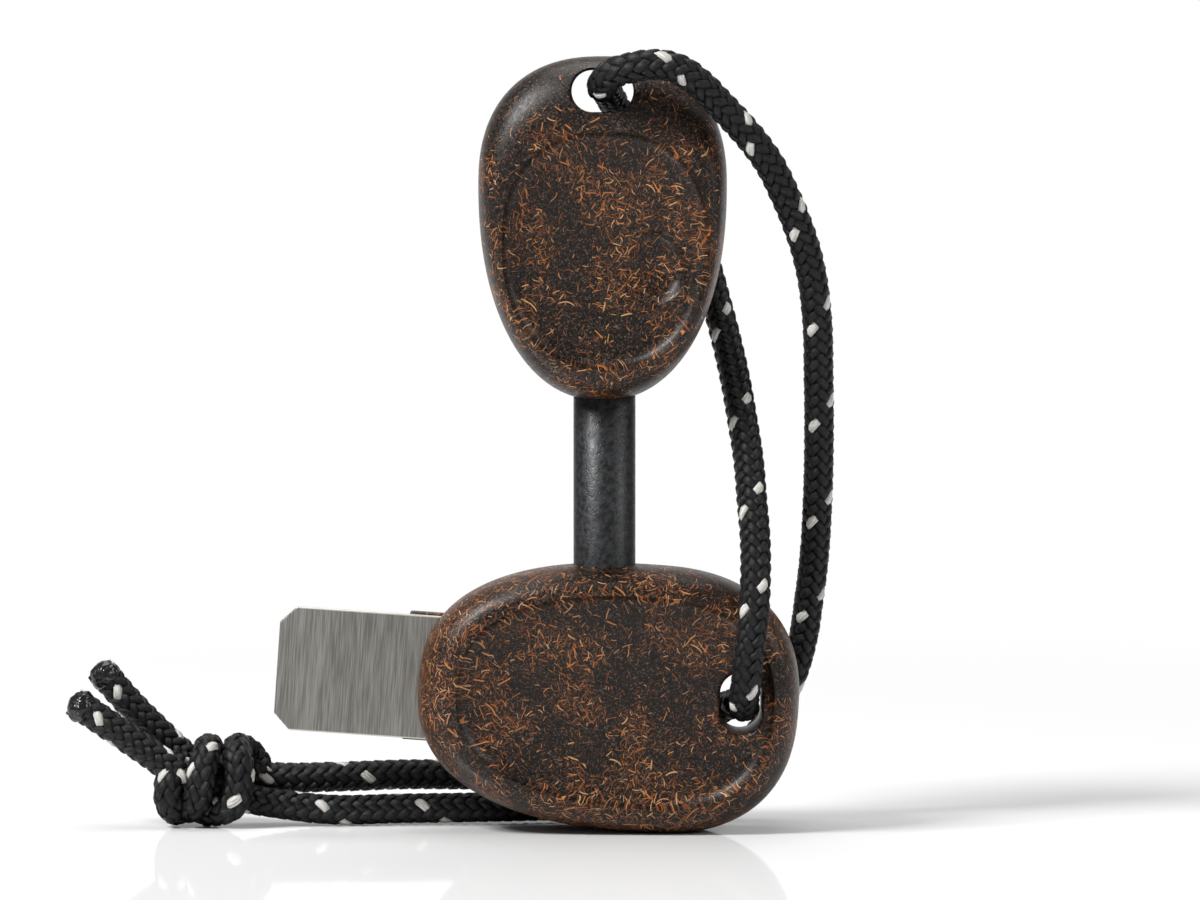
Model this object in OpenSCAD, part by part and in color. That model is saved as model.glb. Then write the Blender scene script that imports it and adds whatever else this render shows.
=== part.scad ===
// Ferro rod fire starter.
// Two pebble-shaped handles: one carries the ferrocerium rod, the other the steel striker.
// The rod is stored in a socket across the striker handle, and a braided lanyard ties
// the two handles together. The part stands on the striker handle's lower edge, with
// the front face towards -Y and the striker blade towards -X.

/* [Handles] */
// Thickness of both handles over their rims
handle_t = 12.5; // [12:0.25:15]
// Depth of the thumb dish in each broad face
dish_depth = 1.6; // [0.4:0.1:1.7]
// Fullness of the rounded edges, where 2 is an ellipse and more is squarer
edge_power = 2.4; // [2:0.1:3]
// Depth of the flat that the striker handle stands on
foot_flat = 0.25; // [0.1:0.05:0.6]

/* [Rod handle] */
// Half of the rod handle's greatest width
grip_half_w = 13; // [11.5:0.25:16]
// From the rod handle's widest level up to its top
grip_top = 13.4; // [12:0.2:16]
// From the rod handle's widest level down to its lower end
grip_bottom = 22.6; // [20:0.2:27]
// Width of the rim beside the dish
grip_rim_side = 2.2; // [1.4:0.1:3.4]
// Width of the rim below the dish
grip_rim_bottom = 3.4; // [2:0.1:5]
// Height of the land above the dish, which holds the lanyard eye
grip_land = 7.9; // [7:0.1:9]
// How far the dish's widest level lies below the handle's
grip_dish_drop = 6.1; // [4:0.1:8]
// How far the handle's middle lies to the left of the rod's axis
grip_offset = 0.2; // [0:0.1:1]
// How far the dish lies to the right of the handle's middle
grip_dish_shift = 0.3; // [0:0.1:0.6]

/* [Striker handle] */
// Half of the striker handle's greatest width
striker_half_w = 14.05; // [13:0.05:16]
// From the striker handle's widest level to its blunt end
striker_nose = 15.7; // [14:0.1:19]
// From the striker handle's widest level to its blade end
striker_tail = 24.3; // [22:0.1:28]
// Width of the rim along the long edges
striker_rim_side = 3; // [2:0.1:4]
// Width of the rim at the blunt end
striker_rim_nose = 2.7; // [1.8:0.1:4]
// Width of the rim at the blade end
striker_rim_tail = 4.1; // [3:0.1:6]
// How far the striker handle leans, its blunt end down
lean = 4; // [0:0.5:6]

/* [Ferro rod] */
// Diameter of the rod
rod_d = 6.5; // [5:0.1:6.8]
// Length of bare rod between the two handles
rod_bare = 17.1; // [10:0.1:30]
// Length of rod glued into the rod handle
rod_in_grip = 16; // [8:0.5:20]
// Length of rod in the striker handle's socket
rod_in_striker = 20; // [12:0.5:22]
// From the rod's axis to the striker handle's widest level
rod_to_widest = 4.7; // [3:0.1:6]
// Chamfer round the rod's free end
rod_chamfer = 0.5; // [0.2:0.1:1]
// Gap between the rod and the storage socket, on the radius
socket_gap = 0.06; // [0.03:0.01:0.1]
// Glue line between the rod and the rod handle, on the radius
glue_gap = 0.02; // [0.01:0.01:0.05]

/* [Striker blade] */
// Width of the blade
blade_w = 13; // [9:0.5:15]
// Thickness of the blade
blade_t = 1.2; // [0.8:0.1:2]
// Length of blade beyond the handle
blade_out = 14.9; // [8:0.1:25]
// Length of blade moulded into the handle
blade_in = 10; // [5:0.5:11]
// Chamfer of the blade's two free corners
blade_corner = 1.7; // [0.5:0.1:3]
// How far the blade lies above the handle's long axis
blade_rise = 0.6; // [0:0.1:1.5]
// How far the handle's backing tongue reaches along the blade
tongue_out = 1.4; // [0.6:0.1:4]
// How far the tongue stands past each edge of the blade
tongue_lip = 0.25; // [0.1:0.05:0.8]
// Thickness of the tongue behind the blade
tongue_t = 1.8; // [1:0.1:2.4]

/* [Lanyard] */
// Diameter of the cord
cord_d = 3.3; // [2.5:0.1:3.4]
// Long way across a lanyard eye
eye_l = 6.5; // [6:0.1:8]
// Short way across a lanyard eye
eye_w = 4.4; // [4.2:0.1:5]
// From the rod handle's top to the middle of its eye
grip_eye_in = 3.65; // [3.5:0.05:4.2]
// From the striker handle's blunt end to the middle of its eye
striker_eye_in = 6.15; // [5:0.05:8]
// How far the striker handle's eye lies above its long axis
striker_eye_rise = 0.5; // [0:0.1:1.5]
// Length of the knot along the cord
knot_l = 12.1; // [9:0.1:13]
// Thickness of the knot
knot_d = 9.8; // [8:0.1:10]

/* [Hidden] */
$fn = 64;

fibre_brown = [0.23, 0.15, 0.10];
rod_grey = [0.17, 0.18, 0.19];
cord_black = [0.08, 0.09, 0.10];

// Facets: points round an outline, rings across a dish and rings down an edge
outline_steps = 72;
dish_rings = 5;
edge_rings = 6;
// A cut runs this far past what it cuts
overcut = 1;
// How late a dish's floor turns up to its rim, where 2 is a round bowl
dish_power = 3;

// An egg outline is two half superellipses that share their width.
grip_power = [2.35, 2.2];
striker_power = [2.43, 2.47];

function curve(c, p) = sign(c) * pow(abs(c), 2 / p);

// Outline points [along, across], the nose towards +along
function egg(nose, tail, half_w, power) = [
  for (i = [0 : outline_steps - 1])
    let (a = 360 * i / outline_steps, c = cos(a), p = c > 0 ? power[0] : power[1])
    [(c > 0 ? nose : tail) * curve(c, p), half_w * curve(sin(a), p)]
];

function moved(points, by) = [for (p = points) p + by];

// Turn outline points by the lean, as [x, z]
function leaned(p) = [p.x * cos(lean) + p.y * sin(lean), p.y * cos(lean) - p.x * sin(lean)];

grip_outline = egg(grip_top, grip_bottom, grip_half_w, grip_power);
grip_dish_at = [-grip_dish_drop, -grip_dish_shift];
grip_dish = moved(
  egg(
    grip_top + grip_dish_drop - grip_land,
    grip_bottom - grip_dish_drop - grip_rim_bottom,
    grip_half_w - grip_rim_side,
    grip_power
  ),
  grip_dish_at
);

striker_outline = egg(striker_nose, striker_tail, striker_half_w, striker_power);
striker_dish = egg(
  striker_nose - striker_rim_nose,
  striker_tail - striker_rim_tail,
  striker_half_w - striker_rim_side,
  striker_power
);

// The origin lies under the middle of the handles and the blade, on the ground.
striker_loop = [for (p = striker_outline) leaned(p)];
blade_tip = -striker_tail - blade_out;
blade_corners = [
  leaned([blade_tip, blade_rise + blade_corner - blade_w / 2]),
  leaned([blade_tip + blade_corner, blade_rise - blade_w / 2])
];
part_left = min([for (p = blade_corners) p.x]);
part_right = max([for (p = striker_loop) p.x]);
striker_x = -(part_left + part_right) / 2;
striker_z = -min([for (p = striker_loop) p.y]) - foot_flat;

rod_x = striker_x - rod_to_widest;
striker_top = [for (i = [1 : outline_steps / 2 - 1]) striker_loop[i]];
socket_mouth_z = striker_z + lookup(-rod_to_widest, striker_top);
socket_floor_z = socket_mouth_z - rod_in_striker;
grip_end_z = socket_mouth_z + rod_bare;
rod_top_z = grip_end_z + rod_in_grip;
grip_x = rod_x - grip_offset;
grip_z = grip_end_z + grip_bottom;
socket_wall_r = rod_d / 2 + socket_gap;
grip_bore_r = rod_d / 2 + glue_gap;

// The lanyard's route: one cord from the knot, up through the striker handle's eye from
// behind, up the front and behind the rod handle, out through its eye to the front,
// over to the right, down behind the striker handle and back to the knot.
lanyard_route = [
  [-31, 6.3, 5.2], [-27.5, 6.4, 4.9], [-21, 7.2, 4.9], [-14, 8.5, 5],
  [-7, 9.3, 4.9], [0, 9.7, 5], [6.5, 9.7, 5.9], [11.8, 9.4, 7.6],
  [16, 8.9, 9.9], [17.6, 8.5, 10.8], [19, 7.7, 11.8], [20.3, 6.3, 12.6],
  [21.3, 4.3, 13.1], [21.7, 2, 13.3], [21.7, -1.6, 13.2], [21.7, -3.9, 13.5],
  [21.7, -5.9, 14.6], [21.9, -7.4, 16.4], [22, -8.1, 18.6], [22.3, -8.3, 20.5],
  [22.6, -8.2, 23], [22.8, -7.4, 27], [22.8, -5.6, 31], [22.5, -3.4, 35],
  [22.2, -1, 39], [21.6, 1.4, 43.1], [20.9, 3.7, 47.2], [20, 5.7, 51.3],
  [18.9, 7.2, 55.5], [17.7, 8.3, 59.7], [15.9, 8.9, 64.2], [13.5, 9.1, 68.2],
  [11.4, 9.2, 71.3], [10, 9.2, 73.2], [8.8, 8.8, 75], [7.9, 7.5, 76.7],
  [7.3, 5.2, 77.7], [7, 2.4, 78.1], [6.9, -2, 78], [6.9, -4.4, 78.1],
  [7.1, -6.4, 78.6], [8, -8, 79.4], [10, -8.8, 80], [12.4, -8.7, 80.3],
  [14.8, -8.2, 79.8], [17, -7.6, 78.3], [19, -6.9, 76.3], [21, -6.3, 74.2],
  [22.8, -5.7, 72.1], [24.4, -5, 69.8], [25.8, -4.3, 67], [27.1, -3.5, 64],
  [28.4, -2.5, 60], [29.3, -1.1, 54.5], [29.6, 0.9, 47.5], [29.7, 2.6, 40.5],
  [29.6, 4.2, 34], [29.3, 5.7, 28.2], [28.8, 7, 23.7], [28.2, 8.3, 19.4],
  [27, 9.4, 15.2], [25.2, 10.2, 11.6], [22.8, 10.7, 8.2], [18.8, 10.7, 5],
  [14, 10.2, 2.9], [7, 9.2, 1.8], [0, 7.7, 1.7], [-7, 6.4, 1.7],
  [-14.5, 5.4, 1.7], [-22, 4.4, 1.7], [-27, 3.9, 2.3], [-31, 3.4, 3]
];
// Route points where the free runs meet the top loop
front_split = 25;
side_split = 55;

knot_at = [-34.9, 4.2, 4.9];
upper_end_route = [[-37.5, 5.6, 7.4], [-40.2, 5.7, 9.9], [-43, 5.7, 12.7], [-46.7, 5.6, 17]];
lower_end_route = [[-37.6, 2.4, 5.6], [-40.6, 2.4, 7.7], [-44.8, 2.5, 10.6], [-49.2, 2.6, 13.6]];
// Facets of the cord and of the knot
cord_sides = 8;
knot_rows = 20;
knot_columns = 32;
// Depth of the grooves between the knot's turns, as a share of its radius
knot_groove = 0.12;
// Turns that the grooves make along the knot
knot_turns = 1.5;
// Fullness of the knot's ends
knot_power = 2.6;

function unit(v) = v / norm(v);
function heading(route, i) =
  unit(route[min(i + 1, len(route) - 1)] - route[max(i - 1, 0)]);
function square_to(v, along) = unit(v - (v * along) * along);

// Side vectors carried along a route without twist
function sides(route, i = 0, last = [0, 1, 0]) =
  i == len(route) ? [] :
  let (s = square_to(last, heading(route, i)))
  concat([s], sides(route, i + 1, s));

// One ring of points square to the route at each of its points
function cord_rings(route) =
  let (across = sides(route))
  [for (i = [0 : len(route) - 1])
    let (s = across[i], t = cross(heading(route, i), s))
    [for (k = [0 : cord_sides - 1])
      let (a = 360 * k / cord_sides)
      route[i] + cord_d / 2 * (cos(a) * s + sin(a) * t)]];

// Triangles over stacked rings of the same count, closed by a fan at each end
function ring_faces(rows, count) = concat(
  [for (j = [0 : rows - 2]) for (i = [0 : count - 1])
    let (a = j * count + i, b = j * count + (i + 1) % count)
    each [[a, b, b + count], [a, b + count, a + count]]],
  [for (i = [0 : count - 1]) [rows * count, (i + 1) % count, i]],
  [for (i = [0 : count - 1]) let (a = (rows - 1) * count)
    [rows * count + 1, a + i, a + (i + 1) % count]]
);

module skin(rings, first, last) {
  polyhedron(
    points = concat([for (r = rings) each r], [first, last]),
    faces = ring_faces(len(rings), len(rings[0])),
    convexity = 8
  );
}

module cord(route, from, to) {
  rings = cord_rings(route);
  skin([for (i = [from : to]) rings[i]], route[from], route[to]);
}

// Profile of half a pebble, from its dish to its edge, as [dish share, edge share, height]
function half_profile() = concat(
  [for (i = [1 : dish_rings])
    let (q = sin(90 * i / dish_rings))
    [q, 0, handle_t / 2 - dish_depth * (1 - pow(q, dish_power))]],
  [for (i = [1 : edge_rings])
    let (a = 90 * i / edge_rings)
    [1, curve(sin(a), edge_power), handle_t / 2 * curve(cos(a), edge_power)]]
);

// A dished pebble lying in X and Z, its thickness along Y
module pebble(outline, dish, dish_at) {
  half = half_profile();
  count = len(half);
  profile = concat(
    [for (p = half) [p[0], p[1], -p[2]]],
    [for (i = [count - 2 : -1 : 0]) half[i]]
  );
  middle = handle_t / 2 - dish_depth;
  skin(
    [for (p = profile) [for (i = [0 : outline_steps - 1])
      let (q = dish_at + p[0] * (dish[i] - dish_at) + p[1] * (outline[i] - dish[i]))
      [q.x, p[2], q.y]]],
    [dish_at.x, -middle, dish_at.y],
    [dish_at.x, middle, dish_at.y]
  );
}

// A slot with round ends through the thickness, its long way along Z
module lanyard_eye() {
  depth = handle_t + 2 * overcut;
  for (side = [-1, 1])
    translate([0, depth / 2, side * (eye_l - eye_w) / 2])
      rotate([90, 0, 0]) cylinder(d = eye_w, h = depth);
  translate([-eye_w / 2, -depth / 2, (eye_w - eye_l) / 2])
    cube([eye_w, depth, eye_l - eye_w]);
}

// Everything on the striker handle's own axes, which lean
module on_striker() {
  translate([striker_x, 0, striker_z]) rotate([0, lean, 0]) children();
}

module blade_shape() {
  half = blade_w / 2;
  translate([0, 0, blade_rise]) rotate([90, 0, 0])
    linear_extrude(blade_t, center = true)
      polygon([
        [blade_tip, blade_corner - half], [blade_tip + blade_corner, -half],
        [blade_in - striker_tail, -half], [blade_in - striker_tail, half],
        [blade_tip + blade_corner, half], [blade_tip, half - blade_corner]
      ]);
}

module striker_handle() color(fibre_brown) {
  tongue_w = blade_w + 2 * tongue_lip;
  difference() {
    on_striker() difference() {
      union() {
        pebble(striker_outline, striker_dish, [0, 0]);
        translate([-striker_tail - tongue_out, 0, blade_rise - tongue_w / 2])
          cube([tongue_out + blade_in, blade_t / 2 + tongue_t, tongue_w]);
      }
      blade_shape();
      translate([-striker_tail - tongue_out - overcut, -handle_t, -tongue_w])
        cube([tongue_out + overcut, handle_t + blade_t / 2, 2 * tongue_w]);
      translate([striker_nose - striker_eye_in, 0, striker_eye_rise]) lanyard_eye();
    }
    translate([rod_x, 0, socket_floor_z])
      cylinder(r = socket_wall_r, h = rod_in_striker + overcut);
    translate([striker_x, 0, -overcut])
      cube([2 * striker_tail, handle_t, 2 * overcut], center = true);
  }
}

module striker_blade() color("silver") on_striker() blade_shape();

module ferro_rod() color(rod_grey) {
  rod_l = rod_top_z - socket_floor_z;
  translate([rod_x, 0, socket_floor_z]) rotate_extrude()
    polygon([
      [0, 0], [rod_d / 2 - rod_chamfer, 0], [rod_d / 2, rod_chamfer],
      [rod_d / 2, rod_l], [0, rod_l]
    ]);
}

module rod_handle() color(fibre_brown) difference() {
  translate([grip_x, 0, grip_z]) rotate([0, -90, 0]) difference() {
    pebble(grip_outline, grip_dish, grip_dish_at);
    translate([grip_top - grip_eye_in, 0, 0]) lanyard_eye();
  }
  translate([rod_x, 0, grip_end_z - overcut])
    cylinder(r = grip_bore_r, h = rod_in_grip + overcut);
}

module lanyard_front_run() color(cord_black)
  cord(lanyard_route, 0, front_split);

module lanyard_top_loop() color(cord_black)
  cord(lanyard_route, front_split, side_split);

module lanyard_side_run() color(cord_black)
  cord(lanyard_route, side_split, len(lanyard_route) - 1);

// The tied cord's outer shape: an egg round X with a groove that winds about it
module lanyard_knot() color(cord_black) {
  rings = [for (j = [1 : knot_rows - 1])
    let (along = 180 * j / knot_rows)
    [for (i = [0 : knot_columns - 1])
      let (
        round = 360 * i / knot_columns,
        swell = 1 - knot_groove * sin(along) * (1 + cos(2 * knot_turns * along + round)) / 2
      )
      knot_at + swell * [
        -knot_l / 2 * curve(cos(along), knot_power),
        knot_d / 2 * curve(sin(along), knot_power) * cos(round),
        knot_d / 2 * curve(sin(along), knot_power) * sin(round)
      ]]];
  skin(rings, knot_at - [knot_l / 2, 0, 0], knot_at + [knot_l / 2, 0, 0]);
}

module lanyard_end_upper() color(cord_black)
  cord(upper_end_route, 0, len(upper_end_route) - 1);

module lanyard_end_lower() color(cord_black)
  cord(lower_end_route, 0, len(lower_end_route) - 1);

striker_handle();
striker_blade();
ferro_rod();
rod_handle();
lanyard_front_run();
lanyard_top_loop();
lanyard_side_run();
lanyard_knot();
lanyard_end_upper();
lanyard_end_lower();
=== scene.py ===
import math

import bmesh
import bpy
from mathutils import Matrix, Vector, noise
from mathutils.bvhtree import BVHTree


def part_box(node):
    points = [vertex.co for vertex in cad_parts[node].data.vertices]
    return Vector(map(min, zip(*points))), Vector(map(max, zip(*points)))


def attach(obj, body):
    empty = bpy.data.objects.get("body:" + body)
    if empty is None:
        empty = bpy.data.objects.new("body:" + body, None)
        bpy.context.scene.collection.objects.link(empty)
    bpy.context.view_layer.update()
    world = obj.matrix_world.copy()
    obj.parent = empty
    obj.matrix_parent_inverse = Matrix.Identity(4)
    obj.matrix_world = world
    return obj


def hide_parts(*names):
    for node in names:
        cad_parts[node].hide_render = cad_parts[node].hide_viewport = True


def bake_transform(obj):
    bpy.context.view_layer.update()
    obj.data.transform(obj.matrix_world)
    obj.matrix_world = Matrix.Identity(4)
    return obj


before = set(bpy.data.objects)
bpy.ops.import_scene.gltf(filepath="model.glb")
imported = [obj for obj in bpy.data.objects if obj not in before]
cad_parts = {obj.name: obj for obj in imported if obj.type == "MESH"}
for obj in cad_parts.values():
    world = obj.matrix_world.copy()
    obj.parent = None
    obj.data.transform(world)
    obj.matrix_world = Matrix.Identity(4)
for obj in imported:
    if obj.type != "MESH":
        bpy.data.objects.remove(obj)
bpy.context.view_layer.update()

mm = 0.001


def inMetres(points):
    return [Vector(p) * mm for p in points]


# The photograph looks slightly down on the fire starter through a long lens
shot = {
    "eye": (6.66, -700, 77),
    "target": (6.66, 0, 40),
    "lens": 200.6,
}


def setCamera():
    eye, target = inMetres((shot["eye"], shot["target"]))
    data = bpy.data.cameras.new("camera")
    data.lens = shot["lens"]
    data.clip_start = 0.01
    camera = bpy.data.objects.new("camera", data)
    camera.location = eye
    camera.rotation_euler = (target - eye).to_track_quat("-Z", "Y").to_euler()
    bpy.context.scene.collection.objects.link(camera)
    bpy.context.scene.camera = camera


setCamera()
print("camera set")


# Node helpers: a socket given as a value is wired, anything else is set
def addNode(tree, kind, inputs=None, **settings):
    node = tree.nodes.new(kind)
    for key, value in settings.items():
        setattr(node, key, value)
    for key, value in (inputs or {}).items():
        if isinstance(value, bpy.types.NodeSocket):
            tree.links.new(value, node.inputs[key])
        else:
            node.inputs[key].default_value = value
    return node


def maths(tree, operation, first, second=0.0, third=0.0):
    inputs = {0: first, 1: second, 2: third}
    return addNode(tree, "ShaderNodeMath", inputs, operation=operation).outputs[0]


def vectorMaths(tree, operation, inputs, output="Vector"):
    return addNode(tree, "ShaderNodeVectorMath", inputs, operation=operation).outputs[output]


def noiseNode(tree, place, scale, detail):
    inputs = {"Vector": place, "Scale": scale, "Detail": detail}
    return addNode(tree, "ShaderNodeTexNoise", inputs).outputs


def stretch(tree, place, scale):
    return addNode(tree, "ShaderNodeMapping", {"Vector": place, "Scale": scale}).outputs[0]


def objectPlace(tree):
    return addNode(tree, "ShaderNodeTexCoord").outputs["Object"]


def addBump(tree, shader, height, strength, distance):
    inputs = {"Height": height, "Strength": strength, "Distance": distance * mm}
    bump = addNode(tree, "ShaderNodeBump", inputs)
    tree.links.new(bump.outputs[0], shader.inputs["Normal"])


def fade(tree, value, low, high, bottom=0.0, top=1.0):
    inputs = {"Value": value, "From Min": low, "From Max": high, "To Min": bottom, "To Max": top}
    node = addNode(tree, "ShaderNodeMapRange", inputs, interpolation_type="SMOOTHSTEP")
    return node.outputs[0]


def mixColour(tree, amount, first, second):
    node = addNode(tree, "ShaderNodeMix", data_type="RGBA", clamp_result=False)
    for socket, value in (("Factor_Float", amount), ("A_Color", first), ("B_Color", second)):
        target = next(s for s in node.inputs if s.identifier == socket)
        if isinstance(value, bpy.types.NodeSocket):
            tree.links.new(value, target)
        elif socket == "Factor_Float":
            target.default_value = value
        else:
            target.default_value = (*value, 1)
    return next(s for s in node.outputs if s.identifier == "Result_Color")


def ramp(tree, factor, stops):
    node = addNode(tree, "ShaderNodeValToRGB", {"Fac": factor})
    bar = node.color_ramp
    while len(bar.elements) < len(stops):
        bar.elements.new(0.5)
    for element, (place, colour) in zip(bar.elements, stops):
        element.position = place
        element.color = (*colour, 1)
    return node.outputs["Color"]


def newMaterial(name, **sockets):
    material = bpy.data.materials.new(name)
    material.use_nodes = True
    shader = material.node_tree.nodes["Principled BSDF"]
    for key, value in sockets.items():
        shader.inputs[key.replace("_", " ")].default_value = value
    return material, material.node_tree, shader


# A sheet of quads whose two directions are wrapped round a shape, with the seam welded
def wrapGrid(bm, along, around, place, slot=0):
    made = bmesh.ops.create_grid(
        bm, x_segments=along, y_segments=around, size=0.5, calc_uvs=True
    )["verts"]
    faces = {f for v in made for f in v.link_faces}
    for face in faces:
        face.material_index = slot
        face.smooth = True
    for v in made:
        v.co = place(v.co.x + 0.5, v.co.y + 0.5)
    bmesh.ops.remove_doubles(bm, verts=made, dist=0.0005 * mm)
    return faces


def newPiece(name, bm, body, *materials):
    bmesh.ops.recalc_face_normals(bm, faces=bm.faces)
    mesh = bpy.data.meshes.new(name)
    bm.to_mesh(mesh)
    bm.free()
    piece = bpy.data.objects.new(name, mesh)
    for material in materials:
        mesh.materials.append(material)
    bpy.context.scene.collection.objects.link(piece)
    if body:
        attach(piece, body)
    return piece


# The mesh that an object shows, with its modifiers or as a curve
def shownMesh(thing):
    graph = bpy.context.evaluated_depsgraph_get()
    return bpy.data.meshes.new_from_object(thing.evaluated_get(graph))


# Bake a piece's modifiers into its mesh
def settle(piece):
    mesh = shownMesh(piece)
    piece.modifiers.clear()
    piece.data = mesh


# The lanyard's route, from the knot through both handles' eyes and back
lanyardRoute = inMetres([
    (-31, 6.3, 5.2), (-27.5, 6.4, 4.9), (-21, 7.2, 4.9), (-14, 8.5, 5),
    (-7, 9.3, 4.9), (0, 9.7, 5), (6.5, 9.7, 5.9), (11.8, 9.4, 7.6),
    (16, 8.9, 9.9), (17.6, 8.5, 10.8), (19, 7.7, 11.8), (20.3, 6.3, 12.6),
    (21.3, 4.3, 13.1), (21.7, 2, 13.3), (21.7, -1.6, 13.2), (21.7, -3.9, 13.5),
    (21.7, -5.9, 14.6), (21.9, -7.4, 16.4), (22, -8.1, 18.6), (22.3, -8.3, 20.5),
    (22.6, -8.2, 23), (22.8, -7.4, 27), (22.8, -5.6, 31), (22.5, -3.4, 35),
    (22.2, -1, 39), (21.6, 1.4, 43.1), (20.9, 3.7, 47.2), (20, 5.7, 51.3),
    (18.9, 7.2, 55.5), (17.7, 8.3, 59.7), (15.9, 8.9, 64.2), (13.5, 9.1, 68.2),
    (11.4, 9.2, 71.3), (10, 9.2, 73.2), (8.8, 8.8, 75), (7.9, 7.5, 76.7),
    (7.3, 5.2, 77.7), (7, 2.4, 78.1), (6.9, -2, 78), (6.9, -4.4, 78.1),
    (7.1, -6.4, 78.6), (8, -8, 79.4), (10, -8.8, 80), (12.4, -8.7, 80.3),
    (14.8, -8.2, 79.8), (17, -7.6, 78.3), (19, -6.9, 76.3), (21, -6.3, 74.2),
    (22.8, -5.7, 72.1), (24.4, -5, 69.8), (25.8, -4.3, 67), (27.1, -3.5, 64),
    (28.4, -2.5, 60), (29.3, -1.1, 54.5), (29.6, 0.9, 47.5), (29.7, 2.6, 40.5),
    (29.6, 4.2, 34), (29.3, 5.7, 28.2), (28.8, 7, 23.7), (28.2, 8.3, 19.4),
    (27, 9.4, 15.2), (25.2, 10.2, 11.6), (22.8, 10.7, 8.2), (18.8, 10.7, 5),
    (14, 10.2, 2.9), (7, 9.2, 1.8), (0, 7.7, 1.7), (-7, 6.4, 1.7),
    (-14.5, 5.4, 1.7), (-22, 4.4, 1.7), (-27, 3.9, 2.3), (-31, 3.4, 3),
])
upperEndRoute = inMetres([
    (-30.4, 5.7, 5.2), (-32.4, 4.9, 4.9), (-34.2, 4.6, 5.1), (-35.8, 5.0, 6.1),
    (-37.5, 5.6, 7.4), (-40.2, 5.7, 9.9), (-43, 5.7, 12.7), (-46.2, 5.6, 16.4),
])
lowerEndRoute = inMetres([
    (-30.6, 3.4, 3.2), (-32.6, 3.5, 4.0), (-34.6, 3.3, 4.4),
    (-37.6, 2.4, 5.6), (-40.6, 2.4, 7.7), (-44.8, 2.5, 10.6), (-48.6, 2.6, 13.2),
])

# One cord winds three times round the knot's core, from the tails' side to the short ends
knotCentre = Vector((-34.9, 4.2, 4.9)) * mm
knotRoute = [knotCentre + p for p in inMetres([
    (5.6, 1.4, 0.2), (4.9, 2.2, 1.9), (3.9, 1.6, 3.0), (3.2, 0.1, 3.3), (3.3, -1.6, 2.7),
    (3.6, -2.8, 1.1), (3.5, -3.0, -0.8), (2.7, -2.6, -2.5), (1.2, -1.5, -3.2), (-0.4, 0.1, -3.2),
    (-0.8, 1.9, -2.6), (-0.4, 3.1, -0.9), (0.0, 3.1, 1.2), (0.2, 1.9, 2.8), (0.2, 0.1, 3.3),
    (0.0, -1.7, 2.8), (-0.3, -3.0, 1.3), (-0.6, -3.2, -0.6), (-1.1, -2.5, -2.2), (-1.7, -1.0, -2.9),
    (-2.3, 0.9, -2.8), (-2.6, 2.4, -1.8), (-2.6, 2.9, -0.2), (-2.6, 1.9, 1.2), (-2.9, 0.2, 1.6),
    (-3.5, -1.7, 0.9), (-3.9, -2.7, -0.7), (-3.7, -2.4, -2.4), (-3.1, -0.9, -3.2), (-3.0, 0.9, -2.4),
    (-2.4, 1.6, -0.8), (-1.4, 1.2, 0.4),
])]

braid = {
    "radius": 1.65,    # outside of the braid
    "lead": 10.6,    # length of one turn of a yarn
    "perWay": 8,    # yarns that wind each way
    "columns": 4,    # times that a yarn comes to the top in a turn
    "lift": 0.23,    # how far a yarn weaves in and out
    "yarnWide": 1.02,
    "yarnThick": 0.46,
    "steps": 28,    # facets along one turn of a yarn
    "sides": 5,    # facets round a yarn
    "whiteYarn": 2,    # which yarn of the first way is the white one
    "coreRadius": 1.0,
}


# A point on a yarn's skin: the cord's line is X, and way is 1 or -1
def yarnPoint(way, start, lead, turns, around, full):
    middle = braid["radius"] - braid["lift"] - braid["yarnThick"] / 2
    turn = way * math.tau * turns + start
    wave = way * math.cos(braid["columns"] * turn)
    radius = middle + braid["lift"] * wave * (1.5 - 0.5 * wave * wave)
    lean = math.atan2(math.tau * radius * way, lead)
    out = Vector((0, math.cos(turn), math.sin(turn)))
    aside = Vector((0, -math.sin(turn), math.cos(turn)))
    across = Vector((-math.sin(lean), 0, 0)) + aside * math.cos(lean)
    section = -math.tau * around
    skin = out * (radius + full * braid["yarnThick"] / 2 * math.sin(section))
    skin += across * full * braid["yarnWide"] / 2 * math.cos(section)
    return (Vector((lead * turns, 0, 0)) + skin) * mm


# All yarns of a straight braid, each one closed at both ends
def straightBraid(lead, turns):
    bm = bmesh.new()
    yarnMap = bm.loops.layers.uv.new("yarnMap")
    start = math.pi / 4 / braid["columns"]
    steps = braid["steps"] * turns
    for way in (1, -1):
        for number in range(braid["perWay"]):
            turned = start + math.tau * number / braid["perWay"]

            def point(u, v):
                step = round(u * (steps + 2)) - 1
                full = 1 if 0 <= step <= steps else 0
                wound = turns * min(max(step, 0), steps) / steps
                return yarnPoint(way, turned, lead, wound, v, full)

            slot = 1 if way == 1 and number == braid["whiteYarn"] else 0
            for face in wrapGrid(bm, steps + 2, braid["sides"], point, slot):
                for loop in face.loops:
                    loop[yarnMap].uv.x *= turns
    return bm


# A smooth curve through a route's points, and the points of its line
def routeCurve(name, points):
    data = bpy.data.curves.new(name, "CURVE")
    data.dimensions = "3D"
    data.resolution_u = 8
    spline = data.splines.new("BEZIER")
    spline.bezier_points.add(len(points) - 1)
    for knot, point in zip(spline.bezier_points, points):
        knot.co = point
        knot.handle_left_type = knot.handle_right_type = "AUTO"
    curve = bpy.data.objects.new(name, data)
    bpy.context.scene.collection.objects.link(curve)
    bpy.context.view_layer.update()
    return curve, [v.co.copy() for v in shownMesh(curve).vertices]


def lengthOf(line):
    return sum((b - a).length for a, b in zip(line, line[1:]))


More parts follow.
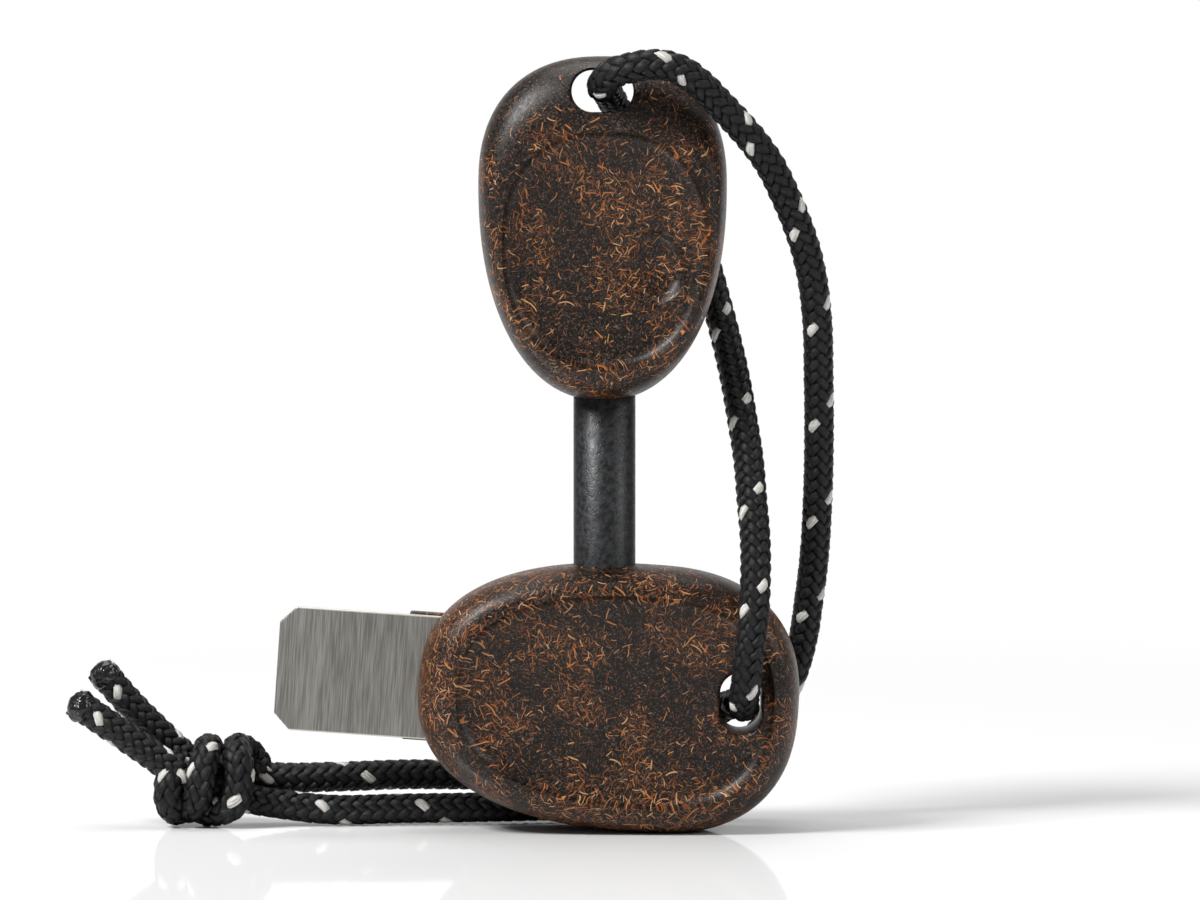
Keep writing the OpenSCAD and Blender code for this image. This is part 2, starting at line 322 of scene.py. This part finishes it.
# Braid laid along a route: whole turns of the braid, bent by a curve
def braidedCord(name, points, body):
    curve, line = routeCurve(name + "Route", points)
    length = lengthOf(line)
    turns = max(1, round(length / mm / braid["lead"]))
    lead = length / mm / turns
    piece = newPiece(name, straightBraid(lead, turns), None, cordBlack, cordWhite)
    bend = piece.modifiers.new("route", "CURVE")
    bend.object = curve
    settle(piece)
    addCore(piece, line)
    bpy.data.objects.remove(curve)
    if body:
        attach(piece, body)
    return piece, line, length


# The dark yarns inside the braid, so that no gap shows through it
def addCore(piece, line):
    data = bpy.data.curves.new("core", "CURVE")
    data.dimensions = "3D"
    data.bevel_depth = braid["coreRadius"] * mm
    data.bevel_resolution = 1
    data.use_fill_caps = True
    spline = data.splines.new("POLY")
    kept = line[::3] + [line[-1]]
    spline.points.add(len(kept) - 1)
    for knot, point in zip(spline.points, kept):
        knot.co = (*point, 1)
    core = bpy.data.objects.new("core", data)
    bpy.context.scene.collection.objects.link(core)
    bpy.context.view_layer.update()
    bm = bmesh.new()
    bm.from_mesh(piece.data)
    bm.from_mesh(shownMesh(core))
    bm.verts.ensure_lookup_table()
    coreVerts = bm.verts[len(piece.data.vertices):]
    bmesh.ops.remove_doubles(bm, verts=coreVerts, dist=0.0005 * mm)
    bmesh.ops.recalc_face_normals(bm, faces=bm.faces)
    bm.to_mesh(piece.data)
    bm.free()
    bpy.data.objects.remove(core)


# Filaments run along each yarn and catch the light; lighter strands are also painted into the colour,
# partly painted sheen along the filaments and partly the yarn's own tone
def yarnMaterial(name, dark, light, roughness):
    material, tree, shader = newMaterial(name, Roughness=roughness, Specular_IOR_Level=0.32)
    place = addNode(tree, "ShaderNodeUVMap", uv_map="yarnMap").outputs[0]
    strands = noiseNode(tree, stretch(tree, place, (10, 34, 1)), 1.0, 2.0)[0]
    # The lighter strands mixed into the colour are partly painted sheen, partly the yarn's own tone
    colour = mixColour(tree, fade(tree, strands, 0.35, 0.7), dark, light)
    tree.links.new(colour, shader.inputs["Base Color"])
    addBump(tree, shader, strands, 0.8, 0.12)
    return material


# On the black yarn the lighter strand colour is painted sheen
cordBlack = yarnMaterial("cordBlack", (0.0012, 0.0013, 0.0015), (0.009, 0.0095, 0.0105), 0.46)
cordWhite = yarnMaterial("cordWhite", (0.46, 0.44, 0.40), (0.90, 0.88, 0.85), 0.5)

run, runLine, runLength = braidedCord("lanyardRun", lanyardRoute, None)
knot = braidedCord("lanyardKnot", knotRoute, "striker")[0]
upperEnd, upperLine = braidedCord("lanyardEndUpper", upperEndRoute, "striker")[:2]
lowerEnd, lowerLine = braidedCord("lanyardEndLower", lowerEndRoute, "striker")[:2]
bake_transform(run)
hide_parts("lanyard_front_run", "lanyard_top_loop", "lanyard_side_run")
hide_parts("lanyard_knot")
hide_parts("lanyard_end_upper")
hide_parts("lanyard_end_lower")
print(f"lanyard braided, {runLength:.3f} m between the knot's two sides")


# One layer of curved fibres: each cell holds one, turned, bowed and sized by chance
def fibreLayer():
    group = bpy.data.node_groups.new("fibreLayer", "ShaderNodeTree")
    group.interface.new_socket("Vector", in_out="INPUT", socket_type="NodeSocketVector")
    for label in ("Cells", "Seed", "Half Length", "Half Width", "Share"):
        group.interface.new_socket(label, in_out="INPUT", socket_type="NodeSocketFloat")
    for label in ("Mask", "Tone"):
        group.interface.new_socket(label, in_out="OUTPUT", socket_type="NodeSocketFloat")
    given = group.nodes.new("NodeGroupInput").outputs
    result = group.nodes.new("NodeGroupOutput")

    def times(first, second):
        return maths(group, "MULTIPLY", first, second)

    # A further chance from 0 to 1, made from one that the cell has
    def another(value, factor):
        return maths(group, "FRACT", times(value, factor))

    scaled = vectorMaths(group, "SCALE", {0: given["Vector"], "Scale": given["Cells"]})
    place = vectorMaths(group, "ADD", {0: scaled, 1: given["Seed"]})
    cells = addNode(
        group, "ShaderNodeTexVoronoi", {"Vector": place, "Scale": 1.0, "Randomness": 0.85},
        voronoi_dimensions="2D",
    )
    chance = addNode(group, "ShaderNodeSeparateColor", {"Color": cells.outputs["Color"]}).outputs
    away = vectorMaths(group, "SUBTRACT", {0: place, 1: cells.outputs["Position"]})
    turned = addNode(
        group, "ShaderNodeVectorRotate", {"Vector": away, "Angle": times(chance[0], math.tau)},
        rotation_type="Z_AXIS",
    )
    axes = addNode(group, "ShaderNodeSeparateXYZ", {0: turned.outputs[0]}).outputs
    bow = times(times(axes[0], axes[0]), maths(group, "MULTIPLY_ADD", chance[1], 1.5, -0.75))
    offLine = maths(group, "ABSOLUTE", maths(group, "ADD", axes[1], bow))
    onLine = maths(group, "ABSOLUTE", axes[0])
    reach = times(given["Half Length"], maths(group, "MULTIPLY_ADD", chance[2], 0.6, 0.4))
    ends = fade(group, maths(group, "DIVIDE", onLine, reach), 0.7, 1.0, 1.0, 0.0)
    stout = maths(group, "MULTIPLY_ADD", another(chance[0], 17.3), 0.9, 0.4)
    width = times(given["Half Width"], stout)
    edge = fade(group, maths(group, "DIVIDE", offLine, width), 0.45, 1.0, 1.0, 0.0)
    picked = maths(group, "LESS_THAN", another(chance[1], 23.7), given["Share"])
    group.links.new(times(times(ends, edge), picked), result.inputs["Mask"])
    group.links.new(another(chance[2], 31.1), result.inputs["Tone"])
    return group


composite = {
    "base": ((0.0026, 0.0015, 0.0010), (0.021, 0.0095, 0.0048)),
    "hair": (0.16, 0.072, 0.032),
    "speck": (0.13, 0.092, 0.068),
    "fibres": (
        (0.0, (0.11, 0.027, 0.006)), (0.4, (0.25, 0.070, 0.015)),
        (0.75, (0.47, 0.165, 0.040)), (1.0, (0.60, 0.34, 0.15)),
    ),
    # cell size, half length and half width of each layer's fibres, in mm, and the share of cells
    "fine": ((0.56, 0.33, 0.04, 1.2), (0.74, 0.44, 0.042, 1.2), (0.47, 0.27, 0.036, 1.2)),
    "coarse": (
        (0.70, 0.40, 0.048, 1.0), (0.88, 0.50, 0.054, 1.0), (1.12, 0.64, 0.062, 1.0),
        (1.45, 0.82, 0.072, 0.95), (1.95, 1.05, 0.088, 0.75),
    ),
    "spread": 50,    # how fast the pattern grows down the sides, per metre of depth
    "clumps": 170,
    "thinnest": 0.10,    # share of the fibres left between the clumps
    "waver": 0.9,    # how far the fibres are pushed about, in mm
    "bareOver": 3,    # length over which the fibres thin out at the top, in mm
    "bareShare": 0.15,
}


# Dark satin composite, with curved plant fibres lying in its skin
def compositeMaterial(name, centre, bareAbove):
    material, tree, shader = newMaterial(name, Specular_IOR_Level=0.36)

    def times(first, second):
        return maths(tree, "MULTIPLY", first, second)

    place = objectPlace(tree)
    inputs = {"Vector": place, "Location": [-c * mm for c in centre]}
    centred = addNode(tree, "ShaderNodeMapping", inputs).outputs[0]
    axes = addNode(tree, "ShaderNodeSeparateXYZ", {0: centred}).outputs
    depth = maths(tree, "SUBTRACT", pebbleForm["thick"] / 2 * mm, maths(tree, "ABSOLUTE", axes[1]))
    growth = maths(tree, "MULTIPLY_ADD", depth, composite["spread"], 1.0)
    inputs = {0: times(axes[0], growth), 1: times(axes[2], growth)}
    flat = addNode(tree, "ShaderNodeCombineXYZ", inputs).outputs[0]
    side = maths(tree, "MULTIPLY_ADD", maths(tree, "SIGN", axes[1]), 3.1, 5.3)
    wander = noiseNode(tree, place, 260.0, 1.0)["Color"]
    pushed = vectorMaths(tree, "SUBTRACT", {0: wander, 1: (0.5, 0.5, 0.5)})
    scaled = vectorMaths(tree, "SCALE", {0: pushed, "Scale": composite["waver"] * mm})
    wavy = vectorMaths(tree, "ADD", {0: flat, 1: scaled})

    clumps = noiseNode(tree, place, composite["clumps"], 2.0)[0]
    crowd = fade(tree, clumps, 0.38, 0.60, composite["thinnest"], 1.0)
    bareTop = (bareAbove + composite["bareOver"]) * mm
    crowd = times(crowd, fade(tree, axes[2], bareAbove * mm, bareTop, 1.0, composite["bareShare"]))
    mottle = noiseNode(tree, place, 2600.0, 3.0)[0]
    colour = mixColour(tree, fade(tree, mottle, 0.38, 0.68), *composite["base"])
    grain = noiseNode(tree, place, 5200.0, 2.0)[0]
    colour = mixColour(tree, fade(tree, grain, 0.56, 0.70, 0.0, 0.8), colour, composite["speck"])

    layer = fibreLayer()
    height = None
    sizes = composite["fine"] + composite["coarse"]
    for number, (cell, halfLength, halfWidth, share) in enumerate(sizes):
        fibres = addNode(tree, "ShaderNodeGroup", node_tree=layer)
        values = {
            "Vector": wavy, "Cells": 1 / (cell * mm), "Seed": maths(tree, "ADD", side, 7.7 * number),
            "Half Length": halfLength / cell, "Half Width": halfWidth / cell,
            "Share": times(crowd, share),
        }
        for key, value in values.items():
            if isinstance(value, bpy.types.NodeSocket):
                tree.links.new(value, fibres.inputs[key])
            else:
                fibres.inputs[key].default_value = value
        mask, tone = fibres.outputs["Mask"], fibres.outputs["Tone"]
        if number < len(composite["fine"]):
            amount = times(mask, maths(tree, "MULTIPLY_ADD", tone, 0.7, 0.15))
            colour = mixColour(tree, amount, colour, composite["hair"])
        else:
            shade = ramp(tree, tone, composite["fibres"])
            colour = mixColour(tree, times(mask, 0.95), colour, shade)
        height = mask if height is None else maths(tree, "MAXIMUM", height, mask)
    tree.links.new(colour, shader.inputs["Base Color"])
    addBump(tree, shader, maths(tree, "MULTIPLY_ADD", height, 0.35, grain), 0.35, 0.06)
    tree.links.new(fade(tree, mottle, 0.3, 0.7, 0.34, 0.5), shader.inputs["Roughness"])
    return material


# A sine or cosine, squared off by the power of a superellipse
def curve(value, power):
    return math.copysign(abs(value) ** (2 / power), value)


# A point of an egg, whose two ends have a length and a power each
def egg(angle, nose, tail, halfWidth, power):
    c, s = math.cos(angle), math.sin(angle)
    power = power[0] if c > 0 else power[1]
    return Vector(((nose if c > 0 else tail) * curve(c, power), halfWidth * curve(s, power)))


pebbleForm = {
    "thick": 12.5,
    "dishDepth": 1.6,
    "edgePower": 2.4,
    "floorShare": 0.36,    # share of the depth in the dish's round floor, the rest is in its wall
    "floorPower": 2.4,
    "wallPower": 27,
    "dishRows": 48,
    "edgeRows": 26,
    "columns": 224,
}


# Rows from the middle of one face to the other: share of the dish, share of the rim, height
def pebbleRows():
    form = pebbleForm
    half = []
    for i in range(form["dishRows"] + 1):
        q = 1 - (1 - i / form["dishRows"]) ** 1.7
        floor = form["floorShare"] * q ** form["floorPower"]
        wall = (1 - form["floorShare"]) * q ** form["wallPower"]
        half.append((q, 0, form["thick"] / 2 - form["dishDepth"] * (1 - floor - wall)))
    for i in range(1, form["edgeRows"] + 1):
        a = math.pi / 2 * i / form["edgeRows"]
        across = curve(math.sin(a), form["edgePower"])
        half.append((1, across, form["thick"] / 2 * curve(math.cos(a), form["edgePower"])))
    return half + [(q, s, -h) for q, s, h in reversed(half[:-1])]


# A dished pebble: outline and dish are egg settings, and place turns flat points into the frame
def pebble(bm, outline, dish, dishAt, place, dent=None):
    rows = pebbleRows()

    def point(u, v):
        angle = math.tau * v
        q, s, height = rows[round(u * (len(rows) - 1))]
        inner = dishAt + q * egg(angle, *dish)
        outer = egg(angle, *outline)
        flat = inner + s * (outer - inner)
        if dent and s == 0:
            height -= math.copysign(dent(flat), height)
        return place(flat, height) * mm

    return wrapGrid(bm, len(rows) - 1, pebbleForm["columns"], point)


def addCut(piece, cutter, operation="DIFFERENCE"):
    cut = piece.modifiers.new("cut", "BOOLEAN")
    cut.operation = operation
    cut.solver = "EXACT"
    cut.object = cutter


eyeForm = {
    "longWay": 6.5,
    "shortWay": 4.4,
    "rim": 0.4,
    "rings": 6,
    "columns": 64,
    "outside": 8.0,    # half the cutter's length, clear of both faces
}


# A slot with round ends and rounded rims, cut along Y through whatever depth the piece has there
def eyeCutter(piece, centre, upright):
    tree = BVHTree.FromObject(piece, bpy.context.evaluated_depsgraph_get())
    longWay, shortWay, rim = eyeForm["longWay"], eyeForm["shortWay"], eyeForm["rim"]
    rows = [(None, -shortWay / 2), (None, rim + 0.3), (-0.15, rim + 0.02)]
    for i in range(eyeForm["rings"] + 1):
        turn = math.pi / 2 * i / eyeForm["rings"]
        rows.append((rim * (1 - math.cos(turn)), rim * (1 - math.sin(turn))))
    rows = [(-1, *row) for row in rows] + [(1, *row) for row in reversed(rows)]

    def edge(angle, grow):
        c, s = math.cos(angle), math.sin(angle)
        reach = shortWay / 2 + grow
        u, w = math.copysign((longWay - shortWay) / 2, c) + reach * c, reach * s
        return (w, u) if upright else (u, w)

    def point(u, v):
        side, depth, grow = rows[round(u * (len(rows) - 1))]
        angle = math.tau * (v + 0.5 / eyeForm["columns"])
        x, z = edge(angle, rim / 2)
        start = (centre + Vector((x, 20 * side, z))) * mm
        height = abs(tree.ray_cast(start, Vector((0, -side, 0)))[0].y) / mm
        x, z = edge(angle, grow)
        height = eyeForm["outside"] if depth is None else height - depth
        return (centre + Vector((x, side * height, z))) * mm

    bm = bmesh.new()
    wrapGrid(bm, len(rows) - 1, eyeForm["columns"], point)
    return newPiece("eyeCutter", bm, None)


def roundBar(name, x, low, high, radius, sides=96):
    bm = bmesh.new()
    made = bmesh.ops.create_cone(
        bm, cap_ends=True, segments=sides, depth=(high - low) * mm,
        radius1=radius * mm, radius2=radius * mm,
    )["verts"]
    bmesh.ops.translate(bm, verts=made, vec=(x * mm, 0, (low + high) / 2 * mm))
    return newPiece(name, bm, None)


def block(bm, low, high):
    for v in bmesh.ops.create_cube(bm, size=1)["verts"]:
        v.co = Vector(a + (b - a) * (c + 0.5) for a, b, c in zip(low, high, v.co)) * mm


def bevel(bm, edges, width, segments):
    bmesh.ops.bevel(
        bm, geom=edges, offset=width * mm, segments=segments, profile=0.5, affect="EDGES", material=-1
    )


def finishCuts(piece, cutters, sharp=32):
    settle(piece)
    for cutter in cutters:
        bpy.data.objects.remove(cutter)
    bm = bmesh.new()
    bm.from_mesh(piece.data)
    bmesh.ops.remove_doubles(bm, verts=bm.verts, dist=0.0004 * mm)
    bmesh.ops.dissolve_degenerate(bm, edges=bm.edges, dist=0.0002 * mm)
    for edge in bm.edges:
        edge.smooth = len(edge.link_faces) == 2 and edge.calc_face_angle(0) < math.radians(sharp)
    for face in bm.faces:
        face.smooth = True
    bm.to_mesh(piece.data)
    bm.free()


# Where the CAD pieces stand, in mm
rodLow, rodHigh = (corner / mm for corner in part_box("ferro_rod"))
rodX = (rodLow.x + rodHigh.x) / 2
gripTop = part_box("rod_handle")[1].z / mm
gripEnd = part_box("rod_handle")[0].z / mm
leanBy = math.radians(4)

rodForm = {
    "radius": 3.25,
    "sides": 128,
    "chamfer": 0.5,
    "glueRoom": 0.02,
    "socketRoom": 0.06,
    "socketCut": 24,    # from the rod's end to above the striker handle
}


# A flat point of the striker handle, turned by its lean
def leaned(p):
    c, s = math.cos(leanBy), math.sin(leanBy)
    return Vector((p[0] * c + p[1] * s, p[1] * c - p[0] * s))


# The rod handle: a thumb dent lies in the dish, beside the rod's end
rodHandle = {
    "outline": (13.4, 22.6, 13.0, (2.35, 2.2)),
    "dish": (11.6, 13.1, 10.8, (2.35, 2.2)),
    "dishAt": Vector((-6.1, -0.3)),
    "aside": -0.2,    # from the rod to the handle's middle line
    "eyeIn": 3.65,
    "bareAbove": 10.5,
    "dentAt": Vector((-8.6, -4.9)),
    "dentRadius": 3.8,
    "dentDepth": 1.05,
}
gripCentre = Vector((rodX + rodHandle["aside"], 0, gripTop - rodHandle["outline"][0]))


# Deep and steep on the right, fading out to the left
def thumbDent(flat):
    away = flat - rodHandle["dentAt"]
    q = away.length / rodHandle["dentRadius"]
    if q >= 1.06:
        return 0.0
    right = -away.y / max(away.length, 1e-6)
    top = away.x / max(away.length, 1e-6)
    wall = max(0.0, min(1.0, 0.5 + 0.75 * right + 0.35 * top))
    steep = 1 - max(0.0, min(1.0, (q - 0.58) / 0.46)) ** 3
    gentle = (1 - min(1.0, q)) ** 1.2
    return rodHandle["dentDepth"] * (wall * steep + (1 - wall) * gentle)


def gripPlace(flat, height):
    return gripCentre + Vector((-flat.y, -height, flat.x))


dishCentre = gripCentre + Vector((0, 0, rodHandle["dishAt"].x))
gripFibre = compositeMaterial("gripFibre", dishCentre, rodHandle["bareAbove"])
bm = bmesh.new()
pebble(bm, rodHandle["outline"], rodHandle["dish"], rodHandle["dishAt"], gripPlace, thumbDent)
grip = newPiece("rodHandle", bm, None, gripFibre)
eyeAt = gripCentre + Vector((0, 0, rodHandle["outline"][0] - rodHandle["eyeIn"]))
gripCutters = [
    eyeCutter(grip, eyeAt, False),
    roundBar("glueBore", rodX, gripEnd - 1, rodHigh.z, rodForm["radius"] + rodForm["glueRoom"]),
]
for cutter in gripCutters:
    addCut(grip, cutter)
finishCuts(grip, gripCutters)
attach(grip, "rod_unit")
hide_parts("rod_handle")
print("rod handle made")

strikerHandle = {
    "outline": (15.7, 24.3, 14.05, (2.43, 2.47)),
    "dish": (13.0, 20.2, 11.05, (2.43, 2.47)),
    "aside": 4.7,    # from the rod to the handle's middle
    "bareAbove": 30,    # past its top, so it has fibres all over
    "eye": (9.55, 0.5),
    "bladeEnds": (-39.2, -14.3),
    "bladeWide": 13.0,
    "bladeThick": 1.2,
    "bladeRise": 0.6,
    "bladeCorner": 1.7,
    "bladeRound": 0.09,
    "groundEdge": (6.32, 6.42),    # the bright edge's start, from the blade's middle line
    "tongueEnds": (-25.7, -15.5),
    "tongueWide": 13.5,
    "tongueBack": 2.4,
    "tongueRound": 0.25,
}
rise = strikerHandle["bladeRise"]
low, high = rise - strikerHandle["bladeWide"] / 2, rise + strikerHandle["bladeWide"] / 2
bladeInner = strikerHandle["bladeEnds"][1]
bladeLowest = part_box("striker_blade")[0].z / mm
strikerCentre = Vector((
    rodX + strikerHandle["aside"], 0, bladeLowest - leaned((bladeInner, low)).y
))
onStriker = Matrix.Translation(strikerCentre * mm) @ Matrix.Rotation(leanBy, 4, "Y")


def strikerPlace(flat, height):
    turned = leaned(flat)
    place = strikerCentre + Vector((turned.x, -height, turned.y))
    place.z = max(place.z, 0.0)
    return place


strikerFibre = compositeMaterial("strikerFibre", strikerCentre, strikerHandle["bareAbove"])
bm = bmesh.new()
pebble(bm, strikerHandle["outline"], strikerHandle["dish"], Vector((0, 0)), strikerPlace)
striker = newPiece("strikerHandle", bm, None, strikerFibre)

bm = bmesh.new()
start, end = strikerHandle["tongueEnds"]
half = strikerHandle["tongueWide"] / 2
thick = strikerHandle["bladeThick"] / 2
block(bm, (start, thick, rise - half), (end, strikerHandle["tongueBack"], rise + half))
bevel(bm, bm.edges[:], strikerHandle["tongueRound"], 3)
bmesh.ops.transform(bm, matrix=onStriker, verts=bm.verts)
tongue = newPiece("tongue", bm, None)
turned = leaned(strikerHandle["eye"])
socketLow, socketHigh = rodLow.z - rodForm["glueRoom"], rodLow.z + rodForm["socketCut"]
socketRadius = rodForm["radius"] + rodForm["socketRoom"]
strikerCutters = [
    eyeCutter(striker, strikerCentre + Vector((turned.x, 0, turned.y)), True),
    roundBar("socketBore", rodX, socketLow, socketHigh, socketRadius),
]
addCut(striker, tongue, "UNION")
for cutter in strikerCutters:
    addCut(striker, cutter)
finishCuts(striker, strikerCutters + [tongue])
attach(striker, "striker")
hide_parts("striker_handle")
print("striker handle made")


# Upright brushed grain, with bright ground edges along the blade's long sides
def steelMaterial():
    material, tree, shader = newMaterial("brushedSteel", Metallic=1.0)
    inputs = {
        "Vector": objectPlace(tree), "Location": strikerCentre * mm, "Rotation": (0, leanBy, 0),
    }
    local = addNode(tree, "ShaderNodeMapping", inputs, vector_type="TEXTURE").outputs[0]
    fine = noiseNode(tree, stretch(tree, local, (9000, 2000, 260)), 1.0, 3.0)[0]
    bands = noiseNode(tree, stretch(tree, local, (1100, 500, 90)), 1.0, 2.0)[0]
    both = maths(tree, "MULTIPLY_ADD", bands, 0.25, maths(tree, "MULTIPLY", fine, 0.75))
    shade = fade(tree, both, 0.34, 0.66)
    colour = mixColour(tree, shade, (0.20, 0.19, 0.175), (0.38, 0.37, 0.345))
    upward = addNode(tree, "ShaderNodeSeparateXYZ", {0: local}).outputs[2]
    away = maths(tree, "ABSOLUTE", maths(tree, "SUBTRACT", upward, rise * mm))
    ground = fade(tree, away, *(edge * mm for edge in strikerHandle["groundEdge"]))
    colour = mixColour(tree, ground, colour, (0.80, 0.76, 0.68))
    tree.links.new(colour, shader.inputs["Base Color"])
    tree.links.new(fade(tree, fine, 0.3, 0.7, 0.34, 0.46), shader.inputs["Roughness"])
    addBump(tree, shader, fine, 0.25, 0.03)
    return material


bm = bmesh.new()
tip = strikerHandle["bladeEnds"][0]
block(bm, (tip, -thick, low), (bladeInner, thick, high))
corners = [e for e in bm.edges if all(abs(v.co.x - tip * mm) < 0.01 * mm for v in e.verts)
           and abs(e.verts[0].co.y - e.verts[1].co.y) > 0.1 * mm]
bevel(bm, corners, strikerHandle["bladeCorner"], 1)
bevel(bm, bm.edges[:], strikerHandle["bladeRound"], 2)
bmesh.ops.transform(bm, matrix=onStriker, verts=bm.verts)
blade = newPiece("strikerBlade", bm, "striker", steelMaterial())
for face in blade.data.polygons:
    face.use_smooth = False
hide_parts("striker_blade")
print("blade made")


# Satin charcoal with fine pits
def rodMaterial():
    material, tree, shader = newMaterial("ferrocerium", Metallic=0.35)
    place = objectPlace(tree)
    inputs = {"Vector": place, "Scale": 2600.0, "Randomness": 1.0}
    pits = addNode(tree, "ShaderNodeTexVoronoi", inputs).outputs[0]
    coarse = noiseNode(tree, place, 1800.0, 4.0)[0]
    shade = fade(tree, coarse, 0.30, 0.72)
    colour = mixColour(tree, shade, (0.012, 0.0125, 0.0135), (0.032, 0.033, 0.035))
    tree.links.new(colour, shader.inputs["Base Color"])
    tree.links.new(fade(tree, coarse, 0.3, 0.7, 0.34, 0.52), shader.inputs["Roughness"])
    bumps = maths(tree, "MULTIPLY_ADD", fade(tree, pits, 0.0, 0.5), 0.5, coarse)
    addBump(tree, shader, bumps, 0.5, 0.06)
    return material


rod = roundBar("ferroRod", rodX, rodLow.z, rodHigh.z, rodForm["radius"], rodForm["sides"])
bm = bmesh.new()
bm.from_mesh(rod.data)
freeEnd = [e for e in bm.edges if all(v.co.z < (rodLow.z + 0.01) * mm for v in e.verts)]
bevel(bm, freeEnd, rodForm["chamfer"], 3)
for face in bm.faces:
    face.smooth = len(face.verts) == 4 and abs(face.normal.z) < 0.9
bm.to_mesh(rod.data)
bm.free()
rod.data.materials.append(rodMaterial())
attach(rod, "rod_unit")
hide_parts("ferro_rod")
print("rod made")

# The tips were melted shut: glossy black blobs
meltedTip = {
    "radii": Vector((1.78, 1.68, 1.45)),
    "back": 0.75,    # from the cord's end to the blob's middle
}


def meltedMaterial():
    material, tree, shader = newMaterial("meltedTip", Roughness=0.22, Specular_IOR_Level=0.5)
    speck = fade(tree, noiseNode(tree, objectPlace(tree), 1500.0, 3.0)[0], 0.62, 0.74)
    colour = mixColour(tree, speck, (0.007, 0.0075, 0.008), (0.16, 0.15, 0.14))
    tree.links.new(colour, shader.inputs["Base Color"])
    return material


melted = meltedMaterial()
for name, line, seed in (("lanyardTipUpper", upperLine, 3), ("lanyardTipLower", lowerLine, 8)):
    bm = bmesh.new()
    made = bmesh.ops.create_icosphere(bm, subdivisions=5, radius=1.0)["verts"]
    heading = (line[-1] - line[-6]).normalized()
    turn = heading.to_track_quat("Z", "Y")
    for v in made:
        lump = 1 + 0.12 * noise.noise(v.co * 1.6 + Vector((seed, 0, 0)))
        lump += 0.05 * noise.noise(v.co * 4.5 + Vector((0, seed, 0)))
        local = v.co * meltedTip["radii"] * lump * mm
        v.co = line[-1] - heading * meltedTip["back"] * mm + turn @ local
    for face in bm.faces:
        face.smooth = True
    blob = newPiece(name, bm, "striker", melted)
print("tips made")

# Bright floor, soft light from the upper left and a weaker one from the right
studio = {
    "ambient": 0.2,
    # place, size and power of each lamp
    "lamps": (
        ((-0.62, -0.42, 0.80), 0.30, 12.5),
        ((0.80, -0.30, 0.50), 0.35, 2.2),
        ((0.00, 0.25, 1.00), 0.60, 4.5),
    ),
}


# White paint with a weak reflection, which turns into a plain white backdrop further away
def floorMaterial():
    material = bpy.data.materials.new("whiteFloor")
    material.use_nodes = True
    tree = material.node_tree
    tree.nodes.clear()

    def surface(kind, inputs):
        return addNode(tree, kind, inputs).outputs[0]

    paint = surface("ShaderNodeBsdfDiffuse", {"Color": (0.74, 0.74, 0.74, 1)})
    gloss = surface("ShaderNodeBsdfGlossy", {"Color": (1, 1, 1, 1), "Roughness": 0.05})
    near = surface("ShaderNodeMixShader", {0: 0.2, 1: paint, 2: gloss})
    white = surface("ShaderNodeEmission", {"Color": (1, 1, 1, 1), "Strength": 1.0})
    away = vectorMaths(tree, "LENGTH", {0: objectPlace(tree)}, "Value")
    shown = surface("ShaderNodeMixShader", {0: fade(tree, away, 0.10, 0.28), 1: near, 2: white})
    addNode(tree, "ShaderNodeOutputMaterial", {"Surface": shown})
    return material


bm = bmesh.new()
bmesh.ops.create_grid(bm, x_segments=1, y_segments=1, size=3.0)
floor = newPiece("floor", bm, None, floorMaterial())

world = bpy.data.worlds.new("studio")
bpy.context.scene.world = world
world.use_nodes = True
tree = world.node_tree
# A white backdrop stands behind, so the floor mirrors it, and the rest of the room is dim
rays = addNode(tree, "ShaderNodeLightPath").outputs
direction = addNode(tree, "ShaderNodeTexCoord").outputs["Generated"]
facing = addNode(tree, "ShaderNodeSeparateXYZ", {0: direction})
backdrop = fade(tree, facing.outputs[1], 0.75, 0.92)
seen = maths(tree, "MAXIMUM", rays["Is Camera Ray"], backdrop)
strength = fade(tree, seen, 0.0, 1.0, studio["ambient"], 1.0)
tree.links.new(strength, tree.nodes["Background"].inputs["Strength"])
tree.nodes["Background"].inputs["Color"].default_value = (1, 1, 1, 1)

for number, (place, size, power) in enumerate(studio["lamps"]):
    data = bpy.data.lights.new(f"lamp{number}", "AREA")
    data.size = size
    data.energy = power
    lamp = bpy.data.objects.new(f"lamp{number}", data)
    lamp.location = place
    lamp.rotation_euler = (Vector((0, 0, 0.03)) - lamp.location).to_track_quat("-Z", "Y").to_euler()
    bpy.context.scene.collection.objects.link(lamp)
bpy.context.scene.view_settings.view_transform = "Standard"
print("studio lit")
